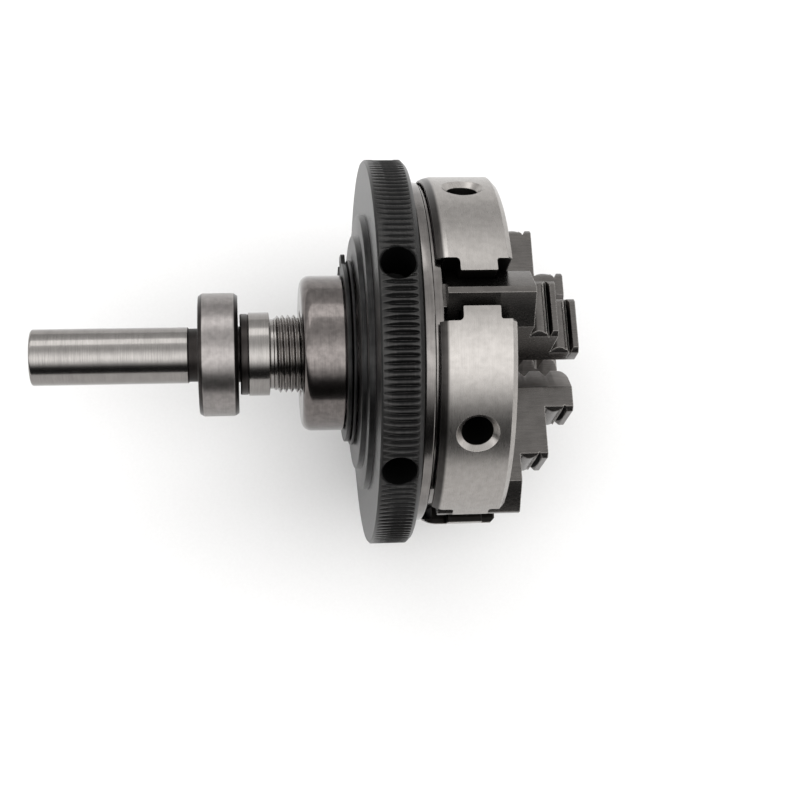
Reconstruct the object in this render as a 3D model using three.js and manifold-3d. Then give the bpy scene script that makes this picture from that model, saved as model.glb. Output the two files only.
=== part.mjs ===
// Mini four-jaw self-centring lathe chuck on a plain-shank arbor with a support bearing.
//
// Millimetres. The turning axis is X: the free end of the shank is at the origin and the
// jaws point to +X. +Z is up. Angles about X are measured from +Y towards +Z, so that
// jaw 1 slides along +Z, jaw 2 along -Y, jaw 3 along -Z and jaw 4 along +Y.

import * as THREE from 'three';
import { mergeVertices } from 'three/addons/utils/BufferGeometryUtils.js';
import Module from 'manifold-3d';

const wasm = await Module();
wasm.setup();

// ---- driving dimensions -------------------------------------------------------------

const gap = 0.3;                    // running or seating gap between neighbouring solids

const shankRadius = 5;              // plain shank, 10 mm
const shankLength = 27.5;
const neckRadius = 4.75;
const bearingRear = 29.4;           // rear face of the bearing
const bearingWidth = 7;
const bearingRadius = 11;
const shoulderRadius = 7.25;        // black shoulder that the bearing seats against
const collarStart = 38.15;
const collarEnd = 42.05;
const collarRadius = 7.45;
const threadStart = 43.1;
const threadEnd = 60;
const threadRadius = 7;             // M14 x 1
const threadPitch = 1;
const threadDepth = 0.61;
const threadTurnsShown = 5;

const hubRear = 47.4;
const hubRadius = 13.9;
const hubFillet = 1.8;
const hubNeckStart = 62.4;          // the hub steps down inside the wheel
const hubNeckRadius = 13.2;
const threadBoreRadius = threadRadius + gap;
const throughBoreRadius = 6.6;

const ringGrooveStart = 54.75;      // groove for the retaining ring
const ringGrooveEnd = 56;
const ringGrooveRadius = 13;
const ringRear = 55;
const ringFront = 55.75;
const ringRadius = 16;
const ringLugRadius = 17.8;
const washerRear = 56;
const washerFront = 56.55;
const washerRadius = 16.6;

const wheelRear = 56.85;            // innermost step of the wheel's rear face
const wheelStepRadius = 21;
const wheelBossRear = 57.8;
const wheelBossRadius = 24.7;
const wheelRimRear = 58.9;
const wheelFront = 66;
const wheelRadius = 34.4;
const wheelChamfer = 0.7;
const wheelHoleCount = 6;
const wheelHoleRadius = 3;
const wheelHoleDepth = 9.5;
const wheelHoleTurn = 84.2;         // degrees from +Y towards +Z, first hole

const plateRear = 66.3;             // steel scroll plate
const plateFront = 68.35;
const plateRadius = 30.4;
const plateSpigotRadius = 20;
const plateSpigotRear = 63;
const scrollPitch = 3.2;
const scrollRidgeWidth = 1.2;
const scrollRidgeHeight = 1.5;
const scrollInner = 14.2;
const scrollOuter = 29.6;

const bodyRear = 68.9;
const bodyRecessFloor = 70.25;
const bodyRecessRadius = 30.3;
const bodyFront = 81.6;
const bodyRadius = 31.5;
const bodyHoleRadius = 2.65;
const bodyHoleDepth = 11;
const bodyHoleSink = 3.65;          // radius of the countersink at the surface

const slotRearHalf = 5.5;
const slotNeckStart = 72.75;
const slotNeckHalf = 3.1;
const slotNeckEnd = 78.9;
const slotFrontHalf = 5.3;

const jawCount = 4;
const jawHalf = 5;                  // half width of the head
const jawFlangeHalf = 5.2;
const jawNeckHalf = 2.8;
const jawFlangeRear = 70.55;
const jawFlangeFront = 72.45;
const jawHeadRear = 79.2;
const jawTip = 4.3;                 // distance of the closed end from the axis, at rest
const jawOuter = 30.3;
const jawSteps = [                  // front face and outer radius of each step
  { front: 85.2, outer: jawOuter },
  { front: 90.2, outer: 21.7 },
  { front: 95.4, outer: 13.2 },
];
const jawRidgeFlat = 0.5;           // half width of the flat on the pointed ends
const jawStepChamfer = 0.8;
const jawToothWidth = 1.3;
const jawToothHalf = 2;
const jawToothRear = 68.75;
const jawToothInnerLimit = 17.7;
const jawToothOuterLimit = 27.8;
const jawNotches = [83.8, 87.65, 91.5];
const jawNotchDepth = 1.3;

const ballCount = 8;
const ballRadius = 1.5;
const ballCircle = 8;
const racewayRadius = ballRadius + gap;

const bigRound = 48;                // facets round the large, the middle and the small pieces
const middleRound = 36;
const smallRound = 28;

// ---- colours ------------------------------------------------------------------------

function finish(color, roughness, metalness) {
  return new THREE.MeshStandardMaterial({ color, roughness, metalness });
}

const brushedSteel = finish(0x9c9590, 0.38, 1);
const groundSteel = finish(0xa9a49f, 0.3, 1);
const jawSteel = finish(0x7d7873, 0.4, 1);
const blackOxide = finish(0x1c1b1b, 0.45, 0.6);
const ballSteel = finish(0xc8c8c8, 0.15, 1);
const cageSteel = finish(0x8b8070, 0.4, 1);

// ---- helpers ------------------------------------------------------------------------

// A closed three.js geometry becomes a solid that can be joined and cut.
function solid(geometry) {
  const bare = geometry.clone();
  bare.deleteAttribute('normal');
  bare.deleteAttribute('uv');
  const merged = mergeVertices(bare, 1e-4);
  const corners = merged.index.array;
  const kept = [];
  for (let i = 0; i < corners.length; i += 3) {
    const [a, b, c] = [corners[i], corners[i + 1], corners[i + 2]];
    if (a !== b && b !== c && c !== a) kept.push(a, b, c);
  }
  return new wasm.Manifold(new wasm.Mesh({
    numProp: 3,
    vertProperties: new Float32Array(merged.attributes.position.array),
    triVerts: new Uint32Array(kept),
  }));
}

function piece(name, body, material) {
  const data = body.getMesh();
  const geometry = new THREE.BufferGeometry();
  geometry.setAttribute('position', new THREE.BufferAttribute(data.vertProperties, 3));
  geometry.setIndex(new THREE.BufferAttribute(data.triVerts, 1));
  const flat = geometry.toNonIndexed();
  flat.computeVertexNormals();
  const mesh = new THREE.Mesh(flat, material);
  mesh.name = name;
  return mesh;
}

// A solid turned about X from [x, radius] points, outer side towards +X.
function turned(profile, facets) {
  const points = profile.map(([x, radius]) => new THREE.Vector2(radius, x));
  const geometry = new THREE.LatheGeometry(points, facets);
  geometry.rotateZ(-Math.PI / 2);
  return solid(geometry);
}

// A turned ring: the same, with the profile closed on itself.
function turnedRing(profile, facets) {
  return turned([...profile, profile[0]], facets);
}

// Points of an arc in a profile, in degrees from +X towards larger radius.
function arc(x, radius, size, from, to, steps) {
  return Array.from({ length: steps + 1 }, (_, i) => {
    const angle = THREE.MathUtils.degToRad(from + (to - from) * i / steps);
    return [x + size * Math.cos(angle), radius + size * Math.sin(angle)];
  });
}

// A prism with its outline in the plane across X ([side, height]) between two stations.
function alongX(outline, start, end) {
  const shape = new THREE.Shape(outline.map(([side, height]) => new THREE.Vector2(side, height)));
  const geometry = new THREE.ExtrudeGeometry(shape, { depth: end - start, bevelEnabled: false });
  const axes = new THREE.Matrix4().makeBasis(
    new THREE.Vector3(0, 1, 0), new THREE.Vector3(0, 0, 1), new THREE.Vector3(1, 0, 0));
  geometry.applyMatrix4(axes);
  geometry.translate(start, 0, 0);
  return solid(geometry);
}

// A prism with its outline in the X-Z plane ([x, height]), as wide as twice half.
function acrossX(outline, half) {
  const shape = new THREE.Shape(outline.map(([x, height]) => new THREE.Vector2(x, height)));
  const geometry = new THREE.ExtrudeGeometry(shape, { depth: 2 * half, bevelEnabled: false });
  geometry.rotateX(Math.PI / 2);
  geometry.translate(0, half, 0);
  return solid(geometry);
}

// A cone or cylinder that stands on the axis along +Z, between two radii from the axis.
function radialPin(x, inner, outer, innerSize, outerSize, facets) {
  const geometry = new THREE.CylinderGeometry(outerSize, innerSize, outer - inner, facets);
  geometry.rotateX(Math.PI / 2);
  geometry.translate(x, 0, (inner + outer) / 2);
  return solid(geometry);
}

function aboutAxis(body, degrees) {
  return body.rotate([degrees, 0, 0]);
}

// ---- arbor --------------------------------------------------------------------------

function makeArbor() {
  const bearingSeatEnd = bearingRear + bearingWidth + gap;
  const thread = [];
  for (let turn = 0; turn < threadTurnsShown; turn += 1) {
    const root = threadStart + turn * threadPitch;
    thread.push([root, threadRadius - threadDepth]);
    thread.push([root + threadPitch / 2, threadRadius]);
  }
  const threadShownEnd = threadStart + threadTurnsShown * threadPitch;
  return turned([
    [0, 0],
    [0, shankRadius - 0.6],
    [0.6, shankRadius],
    [shankLength, shankRadius],
    [shankLength, neckRadius],
    [bearingRear - 0.2, neckRadius],
    [bearingRear - 0.2, shankRadius],
    [bearingSeatEnd, shankRadius],
    [bearingSeatEnd, shoulderRadius],
    [collarStart, shoulderRadius],
    [collarStart + 0.15, collarRadius],
    [collarEnd - 0.2, collarRadius],
    [collarEnd, collarRadius - 0.35],
    [collarEnd, threadRadius - 0.1],
    ...thread,
    [threadShownEnd, threadRadius - 0.1],
    [threadEnd - 0.8, threadRadius - 0.1],
    [threadEnd, threadRadius - 0.9],
    [threadEnd, 0],
  ], smallRound);
}

// ---- bearing ------------------------------------------------------------------------

const bearingFront = bearingRear + bearingWidth;
const bearingMiddle = bearingRear + bearingWidth / 2;

function makeOuterRing() {
  const bore = 9.3;
  const edge = Math.asin((bore - ballCircle) / racewayRadius) * 180 / Math.PI;
  return turnedRing([
    [bearingRear, bore],
    [bearingRear, bearingRadius - 0.45],
    [bearingRear + 0.25, bearingRadius - 0.13],
    [bearingRear + 0.8, bearingRadius],
    [bearingFront - 0.8, bearingRadius],
    [bearingFront - 0.25, bearingRadius - 0.13],
    [bearingFront, bearingRadius - 0.45],
    [bearingFront, bore],
    ...arc(bearingMiddle, ballCircle, racewayRadius, edge, 180 - edge, 4),
  ], middleRound);
}

function makeInnerRing() {
  const outside = 6.7;
  const edge = Math.asin((ballCircle - outside) / racewayRadius) * 180 / Math.PI;
  return turnedRing([
    [bearingFront, shankRadius + gap],
    [bearingRear, shankRadius + gap],
    [bearingRear, outside],
    ...arc(bearingMiddle, ballCircle, racewayRadius, 180 + edge, 360 - edge, 4),
    [bearingFront, outside],
  ], smallRound);
}

function makeShield(rear) {
  const inner = 7;
  const outer = 9;
  return turnedRing([
    [rear, inner],
    [rear, outer],
    [rear + gap, outer],
    [rear + gap, inner],
  ], smallRound);
}

function makeCage() {
  const halfWidth = 2.2;
  const halfWall = 0.45;
  const band = turnedRing([
    [bearingMiddle - halfWidth, ballCircle - halfWall],
    [bearingMiddle - halfWidth, ballCircle + halfWall],
    [bearingMiddle + halfWidth, ballCircle + halfWall],
    [bearingMiddle + halfWidth, ballCircle - halfWall],
  ], smallRound);
  let cage = band;
  for (let ball = 0; ball < ballCount; ball += 1) {
    const pocket = radialPin(bearingMiddle, 6, 10, racewayRadius, racewayRadius, 10);
    cage = cage.subtract(aboutAxis(pocket, ball * 360 / ballCount));
  }
  return cage;
}

function makeBall(index) {
  const geometry = new THREE.SphereGeometry(ballRadius, 10, 6);
  const angle = index * 2 * Math.PI / ballCount;
  const ball = piece(`bearing_ball_${index + 1}`, solid(geometry), ballSteel);
  ball.position.set(bearingMiddle, -ballCircle * Math.sin(angle), ballCircle * Math.cos(angle));
  return ball;
}

// ---- retaining ring and washer ------------------------------------------------------

function makeRetainingRing() {
  const outline = new THREE.Shape();
  const mouth = THREE.MathUtils.degToRad(7);
  const lug = THREE.MathUtils.degToRad(19);
  const inside = ringGrooveRadius + gap;
  outline.absarc(0, 0, ringRadius, lug, 2 * Math.PI - lug, false);
  outline.lineTo(ringLugRadius * Math.cos(lug), -ringLugRadius * Math.sin(lug));
  outline.absarc(0, 0, ringLugRadius, -lug, -mouth, false);
  outline.lineTo(inside * Math.cos(mouth), -inside * Math.sin(mouth));
  outline.absarc(0, 0, inside, -mouth, mouth - 2 * Math.PI, true);
  outline.lineTo(ringLugRadius * Math.cos(mouth), ringLugRadius * Math.sin(mouth));
  outline.absarc(0, 0, ringLugRadius, mouth, lug, false);
  const holeAngle = (mouth + lug) / 2;
  for (const side of [1, -1]) {
    const hole = new THREE.Path();
    const reach = ringLugRadius - 1.8;
    hole.absarc(reach * Math.cos(holeAngle), side * reach * Math.sin(holeAngle), 0.8, 0, 2 * Math.PI);
    outline.holes.push(hole);
  }
  const geometry = new THREE.ExtrudeGeometry(outline, {
    depth: ringFront - ringRear, bevelEnabled: false, curveSegments: 9,
  });
  const axes = new THREE.Matrix4().makeBasis(
    new THREE.Vector3(0, 1, 0), new THREE.Vector3(0, 0, 1), new THREE.Vector3(1, 0, 0));
  geometry.applyMatrix4(axes);
  geometry.translate(ringRear, 0, 0);
  return solid(geometry);
}

function makeWasher() {
  return turnedRing([
    [washerRear, hubRadius + gap],
    [washerRear, washerRadius],
    [washerFront, washerRadius],
    [washerFront, hubRadius + gap],
  ], bigRound);
}

// ---- knurled wheel and scroll plate -------------------------------------------------

function makeWheel() {
  const bore = hubRadius + gap;
  const spigotBore = plateSpigotRadius + gap;
  const spigotFloor = plateSpigotRear - gap;
  let wheel = turnedRing([
    [wheelRear, bore],
    [wheelRear, wheelStepRadius],
    [wheelBossRear, wheelStepRadius],
    [wheelBossRear, wheelBossRadius],
    [wheelRimRear, wheelBossRadius],
    [wheelRimRear, wheelRadius - wheelChamfer - 0.3],
    [wheelRimRear + wheelChamfer, wheelRadius],
    [wheelFront - wheelChamfer, wheelRadius],
    [wheelFront, wheelRadius - wheelChamfer],
    [wheelFront, spigotBore],
    [spigotFloor, spigotBore],
    [spigotFloor, bore],
  ], bigRound);
  const middle = (wheelRimRear + wheelFront) / 2;
  for (let hole = 0; hole < wheelHoleCount; hole += 1) {
    const drill = radialPin(
      middle, wheelRadius - wheelHoleDepth, wheelRadius + 2, wheelHoleRadius, wheelHoleRadius, 20);
    const turn = wheelHoleTurn - 90 + hole * 360 / wheelHoleCount;
    wheel = wheel.subtract(aboutAxis(drill, turn));
  }
  return wheel;
}

// Radius of the middle of the spiral ridge at an angle about X (radians from +Y).
function scrollRadius(angle) {
  return scrollOuter - scrollPitch * angle / (2 * Math.PI);
}

// The ridge is a rectangle swept along the spiral, ring of four corners by ring of four.
function makeScrollRidge() {
  const turns = (scrollOuter - scrollInner) / scrollPitch;
  const steps = Math.round(turns * smallRound);
  const positions = [];
  const index = [];
  for (let step = 0; step <= steps; step += 1) {
    const angle = step / steps * turns * 2 * Math.PI;
    const radius = scrollRadius(angle);
    for (const [x, side] of [[-0.4, -1], [-0.4, 1], [scrollRidgeHeight, 1], [scrollRidgeHeight, -1]]) {
      const reach = radius + side * scrollRidgeWidth / 2;
      positions.push(plateFront + x, reach * Math.cos(angle), reach * Math.sin(angle));
    }
  }
  for (let step = 0; step < steps; step += 1) {
    for (let corner = 0; corner < 4; corner += 1) {
      const a = step * 4 + corner;
      const b = step * 4 + (corner + 1) % 4;
      index.push(a, a + 4, b, b, a + 4, b + 4);
    }
  }
  const last = steps * 4;
  index.push(0, 1, 2, 0, 2, 3, last, last + 2, last + 1, last, last + 3, last + 2);
  const geometry = new THREE.BufferGeometry();
  geometry.setAttribute('position', new THREE.Float32BufferAttribute(positions, 3));
  geometry.setIndex(index);
  return solid(geometry);
}

function makePlate() {
  const bore = hubNeckRadius + gap;
  const plate = turnedRing([
    [plateSpigotRear, hubRadius + gap],
    [plateSpigotRear, plateSpigotRadius],
    [plateRear, plateSpigotRadius],
    [plateRear, plateRadius - 0.3],
    [plateRear + 0.3, plateRadius],
    [plateFront - 0.3, plateRadius],
    [plateFront, plateRadius - 0.3],
    [plateFront, bore],
    [plateRear, bore],
    [plateRear - 0.5, hubRadius + gap],
  ], bigRound);
  return plate.add(makeScrollRidge());
}

// ---- chuck body ---------------------------------------------------------------------

function makeBody() {
  let body = turnedRing([
    [hubRear, threadBoreRadius + 0.6],
    ...arc(hubRear + hubFillet, hubRadius - hubFillet, hubFillet, 180, 90, 4),
    [ringGrooveStart, hubRadius],
    [ringGrooveStart, ringGrooveRadius],
    [ringGrooveEnd, ringGrooveRadius],
    [ringGrooveEnd, hubRadius],
    [hubNeckStart, hubRadius],
    [hubNeckStart, hubNeckRadius],
    [bodyRecessFloor, hubNeckRadius],
    [bodyRecessFloor, bodyRecessRadius],
    [bodyRear, bodyRecessRadius],
    ...arc(bodyRear + 0.95, bodyRadius - 0.95, 0.95, 180, 90, 3),
    [bodyFront - 0.9, bodyRadius],
    [bodyFront, bodyRadius - 0.9],
    [bodyFront, throughBoreRadius + 0.6],
    [bodyFront - 0.6, throughBoreRadius],
    [threadEnd + 0.8, throughBoreRadius],
    [threadEnd + 0.8, threadBoreRadius],
    [hubRear + 0.6, threadBoreRadius],
  ], bigRound);
  const reach = bodyRadius + 3;
  const centreReach = -1;
  const slot = (half, start, end) => alongX(
    [[-half, centreReach], [half, centreReach], [half, reach], [-half, reach]], start, end);
  const middle = (bodyRear + bodyFront) / 2;
  for (let jaw = 0; jaw < jawCount; jaw += 1) {
    const turn = jaw * 360 / jawCount;
    const cut = slot(slotNeckHalf, slotNeckStart - 0.5, slotNeckEnd + 0.5)
      .add(slot(slotFrontHalf, slotNeckEnd, bodyFront + 1))
      .add(slot(slotRearHalf, bodyRecessFloor, slotNeckStart));
    const mouth = alongX([
      [-slotRearHalf, bodyRecessRadius - 1], [slotRearHalf, bodyRecessRadius - 1],
      [slotRearHalf, reach], [-slotRearHalf, reach],
    ], bodyRear - 1, bodyRecessFloor + 0.5);
    const drill = radialPin(middle, bodyRadius - bodyHoleDepth, reach, bodyHoleRadius, bodyHoleRadius, 20);
    const sinkInner = bodyRadius - (bodyHoleSink - bodyHoleRadius) - 0.1;
    const sinkOuter = sinkInner + 2;
    const sink = radialPin(middle, sinkInner, sinkOuter, bodyHoleRadius, bodyHoleRadius + 2, 20);
    body = body
      .subtract(aboutAxis(cut, turn))
      .subtract(aboutAxis(mouth, turn))
      .subtract(aboutAxis(drill.add(sink), turn + 45));
  }
  return body;
}

// ---- jaws ---------------------------------------------------------------------------

// Outline of a jaw across the axis: a bar with a pointed inner end and, at its outer end,
// either the same point or a flat step with small corner chamfers.
function jawOutline(half, outer, pointed) {
  const slope = half - jawRidgeFlat;
  const inner = [[half, jawTip + slope], [jawRidgeFlat, jawTip]];
  const end = pointed
    ? [[jawRidgeFlat, outer], [half, outer - slope]]
    : [[half - jawStepChamfer, outer], [half, outer - jawStepChamfer]];
  const right = [...end, ...inner];
  const left = right.map(([side, height]) => [-side, height]).reverse();
  return [...right, ...left];
}

// Each riser has a deep groove near its front edge and a relief groove at its foot.
function serration(step, foot) {
  const front = step.front - 1.2;
  const outer = step.outer;
  const groove = acrossX([
    [front - 0.85, outer - 0.9], [front - 0.05, outer - 0.9],
    [front + 0.1, outer + 1], [front - 1, outer + 1],
  ], jawHalf + 1);
  const relief = acrossX([
    [foot, outer - 0.5], [foot + 0.35, outer - 0.5], [foot + 0.65, outer + 1], [foot, outer + 1],
  ], jawHalf + 1);
  return groove.add(relief);
}

function makeJaw(index) {
  let jaw = alongX(jawOutline(jawFlangeHalf, jawOuter, true), jawFlangeRear, jawFlangeFront)
    .add(alongX(jawOutline(jawNeckHalf, jawOuter, true), jawFlangeFront - 0.5, jawHeadRear + 0.5));
  let rear = jawHeadRear;
  jawSteps.forEach((step, level) => {
    jaw = jaw.add(alongX(jawOutline(jawHalf, step.outer, level === 0), rear, step.front));
    rear = step.front - 0.5;
  });
  for (let level = 1; level < jawSteps.length; level += 1) {
    jaw = jaw.subtract(serration(jawSteps[level], jawSteps[level - 1].front));
  }
  for (const x of jawNotches) {
    jaw = jaw.subtract(acrossX([
      [x - 0.9, jawTip - 0.2], [x + 1.2, jawTip - 0.2],
      [x + 0.1, jawTip + jawNotchDepth], [x - 0.35, jawTip + jawNotchDepth],
    ], jawHalf + 1));
  }
  const turn = index * 2 * Math.PI / jawCount;
  const spiral = scrollRadius(turn + Math.PI / 2);
  const firstTooth = spiral - scrollPitch / 2;
  for (let tooth = firstTooth; tooth > jawToothInnerLimit; tooth -= scrollPitch) {
    if (tooth < jawToothOuterLimit) {
      const half = jawToothWidth / 2;
      jaw = jaw.add(acrossX([
        [jawToothRear, tooth - half], [jawFlangeRear + 0.5, tooth - half],
        [jawFlangeRear + 0.5, tooth + half], [jawToothRear, tooth + half],
      ], jawToothHalf));
    }
  }
  const mesh = piece(`jaw_${index + 1}`, jaw, jawSteel);
  mesh.rotation.x = turn;
  return mesh;
}

// ---- assembly -----------------------------------------------------------------------

const chuck = new THREE.Group();
chuck.add(
  piece('chuck_body', makeBody(), brushedSteel),
  piece('arbor', makeArbor(), groundSteel),
  piece('retaining_ring', makeRetainingRing(), blackOxide),
  piece('thrust_washer', makeWasher(), blackOxide),
  piece('scroll_wheel', makeWheel(), blackOxide),
  piece('scroll_plate', makePlate(), brushedSteel),
  piece('bearing_outer_ring', makeOuterRing(), groundSteel),
  piece('bearing_inner_ring', makeInnerRing(), groundSteel),
  piece('bearing_shield_rear', makeShield(bearingRear + 0.5), blackOxide),
  piece('bearing_shield_front', makeShield(bearingFront - 0.5 - gap), blackOxide),
  piece('bearing_cage', makeCage(), cageSteel),
);
for (let ball = 0; ball < ballCount; ball += 1) chuck.add(makeBall(ball));
for (let jaw = 0; jaw < jawCount; jaw += 1) chuck.add(makeJaw(jaw));

export default chuck;
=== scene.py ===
"""Finished look of a mini four-jaw scroll chuck on a plain-shank arbor with a support bearing.

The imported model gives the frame: the turning axis is X, the shank's free end is at the origin,
the jaws point to +X and +Z is up. Sizes below are in millimetres and stations are counted from
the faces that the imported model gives. Angles about X run from +Y towards +Z.
"""

import logging
import math
from dataclasses import dataclass
from enum import Enum

import bpy
import numpy as np
from mathutils import Matrix, Vector


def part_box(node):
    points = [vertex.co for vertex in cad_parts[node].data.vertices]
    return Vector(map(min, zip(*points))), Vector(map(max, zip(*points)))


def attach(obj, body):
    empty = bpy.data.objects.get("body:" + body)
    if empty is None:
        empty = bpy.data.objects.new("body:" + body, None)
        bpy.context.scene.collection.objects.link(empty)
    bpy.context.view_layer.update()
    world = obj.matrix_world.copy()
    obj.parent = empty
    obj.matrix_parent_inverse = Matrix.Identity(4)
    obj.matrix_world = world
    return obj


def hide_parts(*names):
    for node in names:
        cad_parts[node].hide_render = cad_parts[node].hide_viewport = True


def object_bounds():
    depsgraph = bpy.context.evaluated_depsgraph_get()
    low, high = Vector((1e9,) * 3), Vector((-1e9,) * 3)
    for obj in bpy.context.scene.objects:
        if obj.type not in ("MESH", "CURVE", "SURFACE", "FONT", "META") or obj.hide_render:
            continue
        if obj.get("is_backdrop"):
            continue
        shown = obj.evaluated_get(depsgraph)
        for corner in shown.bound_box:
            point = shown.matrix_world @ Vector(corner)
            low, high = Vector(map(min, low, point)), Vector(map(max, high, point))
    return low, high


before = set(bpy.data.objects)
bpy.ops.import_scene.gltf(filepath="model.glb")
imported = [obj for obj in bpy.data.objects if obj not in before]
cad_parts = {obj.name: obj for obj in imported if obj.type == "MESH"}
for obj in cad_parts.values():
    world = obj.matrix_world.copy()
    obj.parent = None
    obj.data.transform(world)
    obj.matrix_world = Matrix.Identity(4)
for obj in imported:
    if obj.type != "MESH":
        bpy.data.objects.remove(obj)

MM = 0.001
FLOOR_GAP = 0.3 * MM
FULL_TURN = 2 * math.pi
ARC_SHARE = 0.45           # the most of a side that one broken corner may take up
Array = np.ndarray
Colour = tuple[float, float, float]
log = logging.getLogger("chuck")


class Join(Enum):
    """Ways to combine two closed shapes."""

    ADD = "UNION"
    CUT = "DIFFERENCE"


class Grain(Enum):
    """Directions that the tool marks of a finish run in."""

    TURNED = "round the axis"
    GROUND = "along the jaw"
    PLAIN = "no direction"


# ---- surfaces -----------------------------------------------------------------------


@dataclass(frozen=True)
class Skin:
    """A closed surface in millimetres: points, four-sided faces and end faces."""

    points: Array
    quads: Array
    caps: tuple[Array, ...] = ()

    @staticmethod
    def over(grid: Array, looped: bool) -> "Skin":
        """Covers a grid of points whose columns close on themselves.

        Args:
            grid: points as (rows, columns, 3).
            looped: True if the last row meets the first, False if both end rows get a flat face.

        Returns:
            The surface, with its faces pointing out.
        """
        rows, columns = grid.shape[:2]
        number = np.arange(rows * columns).reshape(rows, columns)
        below = np.roll(number, -1, axis=0)
        beside, across = np.roll(number, -1, axis=1), np.roll(below, -1, axis=1)
        quads = np.stack([number, below, across, beside], axis=-1)
        if looped:
            return Skin(grid.reshape(-1, 3), quads.reshape(-1, 4)).outward()
        ends = (number[0], number[-1][::-1])
        return Skin(grid.reshape(-1, 3), quads[:-1].reshape(-1, 4), ends).outward()

    def volume(self) -> float:
        """Signed volume: the sum of p . (q x r) / 6 over the triangles of every face."""
        p = self.points[self.quads]
        faces = np.cross(p[:, 1], p[:, 2]) + np.cross(p[:, 2], p[:, 3])
        total = np.einsum("ij,ij->", p[:, 0], faces)
        for cap in self.caps:
            q = self.points[cap]
            total += np.einsum("j,ij->", q[0], np.cross(q[1:-1], q[2:]))
        return float(total) / 6

    def outward(self) -> "Skin":
        """The same surface with every face pointing out."""
        if self.volume() >= 0:
            return self
        return Skin(self.points, self.quads[:, ::-1], tuple(cap[::-1] for cap in self.caps))

    def turned(self, angle: float) -> "Skin":
        """The surface turned about X by an angle in radians: (y, z) turns towards +Z."""
        c, s = math.cos(angle), math.sin(angle)
        about_x = np.array([[1, 0, 0], [0, c, -s], [0, s, c]])
        return Skin(self.points @ about_x.T, self.quads, self.caps)

    @staticmethod
    def together(skins: list["Skin"]) -> "Skin":
        """Several surfaces as one, with their points numbered on."""
        starts = np.cumsum([0] + [len(skin.points) for skin in skins])
        points = np.concatenate([skin.points for skin in skins])
        quads = np.concatenate([skin.quads + start for skin, start in zip(skins, starts)])
        caps = tuple(cap + start for skin, start in zip(skins, starts) for cap in skin.caps)
        return Skin(points, quads, caps)

    def make(self, name: str) -> bpy.types.Object:
        """Puts the surface into a mesh object.

        Args:
            name: the object's name.

        Returns:
            The object, at the origin, with its place in its mesh.
        """
        mesh = bpy.data.meshes.new(name)
        faces = self.quads.tolist() + [cap.tolist() for cap in self.caps]
        mesh.from_pydata((self.points * MM).tolist(), [], faces)
        mesh.update()
        made = bpy.data.objects.new(name, mesh)
        bpy.context.scene.collection.objects.link(made)
        return made


def rounded(corners: Array, steps: int = 3, closed: bool = True) -> Array:
    """Breaks the corners of an outline with arcs.

    A corner B with radius R becomes the arc that touches both of its sides at P and Q:
    ((1-s)^2 P + 2s(1-s) w B + s^2 Q) / ((1-s)^2 + 2s(1-s) w + s^2), where s runs from 0 to 1 and
    w is the sine of half the angle between the sides.

    Args:
        corners: (..., n, 3), two coordinates and the radius of each corner.
        steps: pieces in each arc.
        closed: False keeps the first and the last corner sharp.

    Returns:
        The outline as (..., points, 2).
    """
    spot, radius = corners[..., :2], corners[..., 2:]
    back = np.roll(spot, 1, axis=-2) - spot
    ahead = np.roll(spot, -1, axis=-2) - spot
    back_size = np.linalg.norm(back, axis=-1, keepdims=True)
    ahead_size = np.linalg.norm(ahead, axis=-1, keepdims=True)
    back, ahead = back / back_size, ahead / ahead_size
    half = np.arccos(np.clip(np.sum(back * ahead, axis=-1, keepdims=True), -1, 1)) / 2
    reach = np.minimum(radius / np.tan(half), ARC_SHARE * np.minimum(back_size, ahead_size))
    s = np.linspace(0, 1, steps + 1)[:, None]
    share = [(1 - s) ** 2, 2 * s * (1 - s) * np.sin(half)[..., None, :], s ** 2]
    bends = [bend[..., None, :] for bend in (spot + back * reach, spot, spot + ahead * reach)]
    arcs = sum(part * bend for part, bend in zip(share, bends)) / sum(share)
    if not closed:
        inner = arcs[..., 1:-1, :, :].reshape(*arcs.shape[:-3], -1, 2)
        return np.concatenate([spot[..., :1, :], inner, spot[..., -1:, :]], axis=-2)
    return arcs.reshape(*arcs.shape[:-3], -1, 2)


def around(count: int) -> Array:
    """Angles of a full turn, in radians, without the one that closes it."""
    return np.linspace(0, FULL_TURN, count, endpoint=False)


def about_axis(x: Array | float, r: Array, a: Array) -> Array:
    """Points (x, r cos a, r sin a) at stations x, radii r and angles a about X."""
    return np.stack(np.broadcast_arrays(x, r * np.cos(a), r * np.sin(a)), axis=-1)


def spun(profile: Array, angles: Array) -> Array:
    """Carries a profile round X: (x, r) at angle a is (x, r cos a, r sin a).

    Args:
        profile: (n, 2) stations and radii, or (n, m, 2) when the profile changes with the angle.
        angles: (m,) angles in radians.

    Returns:
        The grid as (n, m, 3).
    """
    rows = profile if profile.ndim == 3 else profile[:, None, :]
    return about_axis(rows[..., 0], rows[..., 1], angles)


def turned_ring(
    corners: list[tuple[float, float, float]], columns: int = 192, steps: int = 3
) -> Skin:
    """A ring turned about X from (x, radius, edge round) corners that close on themselves."""
    return Skin.over(spun(rounded(np.array(corners), steps), around(columns)), looped=True)


def prism(outline: Array, start: float, end: float) -> Skin:
    """A prism that stands along +Z on an (x, y) outline, from height start to height end."""
    flat = np.broadcast_to(outline, (2, *outline.shape))
    height = np.broadcast_to(np.array([start, end])[:, None, None], (*flat.shape[:2], 1))
    return Skin.over(np.concatenate([flat, height], axis=-1), looped=False)


def drill(x: float, profile: list[tuple[float, float]], columns: int = 48) -> Skin:
    """A tool that points along Z at station x: (height, radius) points spun about its own axis."""
    h, r = np.array(profile)[:, :, None].transpose(1, 0, 2)
    a = around(columns)
    grid = np.stack(np.broadcast_arrays(x + r * np.cos(a), r * np.sin(a), h), axis=-1)
    return Skin.over(grid, looped=False)


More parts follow.
